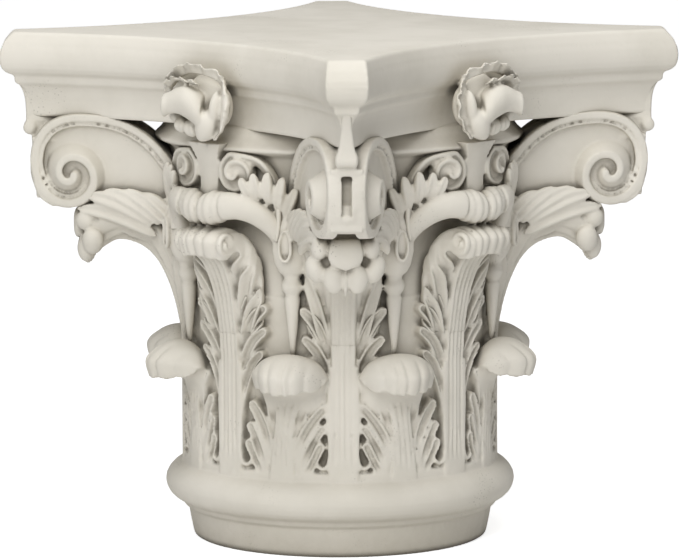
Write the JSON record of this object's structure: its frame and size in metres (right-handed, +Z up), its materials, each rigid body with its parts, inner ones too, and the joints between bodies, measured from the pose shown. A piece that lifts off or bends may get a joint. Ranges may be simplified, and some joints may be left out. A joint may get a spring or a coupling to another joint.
{
  "type": "corinthian capital",
  "caption": "Free-standing column capital with acanthus leaves, corner volutes and a concave-sided top slab, usable as a low pedestal.",
  "frame": {"origin": "centre of the round underside", "axes": "+Z up; the hollow sides of the top slab face +X, -X, +Y and -Y, and its horns lie on the diagonals"},
  "size_m": [0.5056, 0.5056, 0.508],
  "materials": {
    "cast_stone": "matte, fine cast surface with small pits"
  },
  "bodies": {
    "root": {"capital": "cast_stone"}
  },
  "joints": []
}
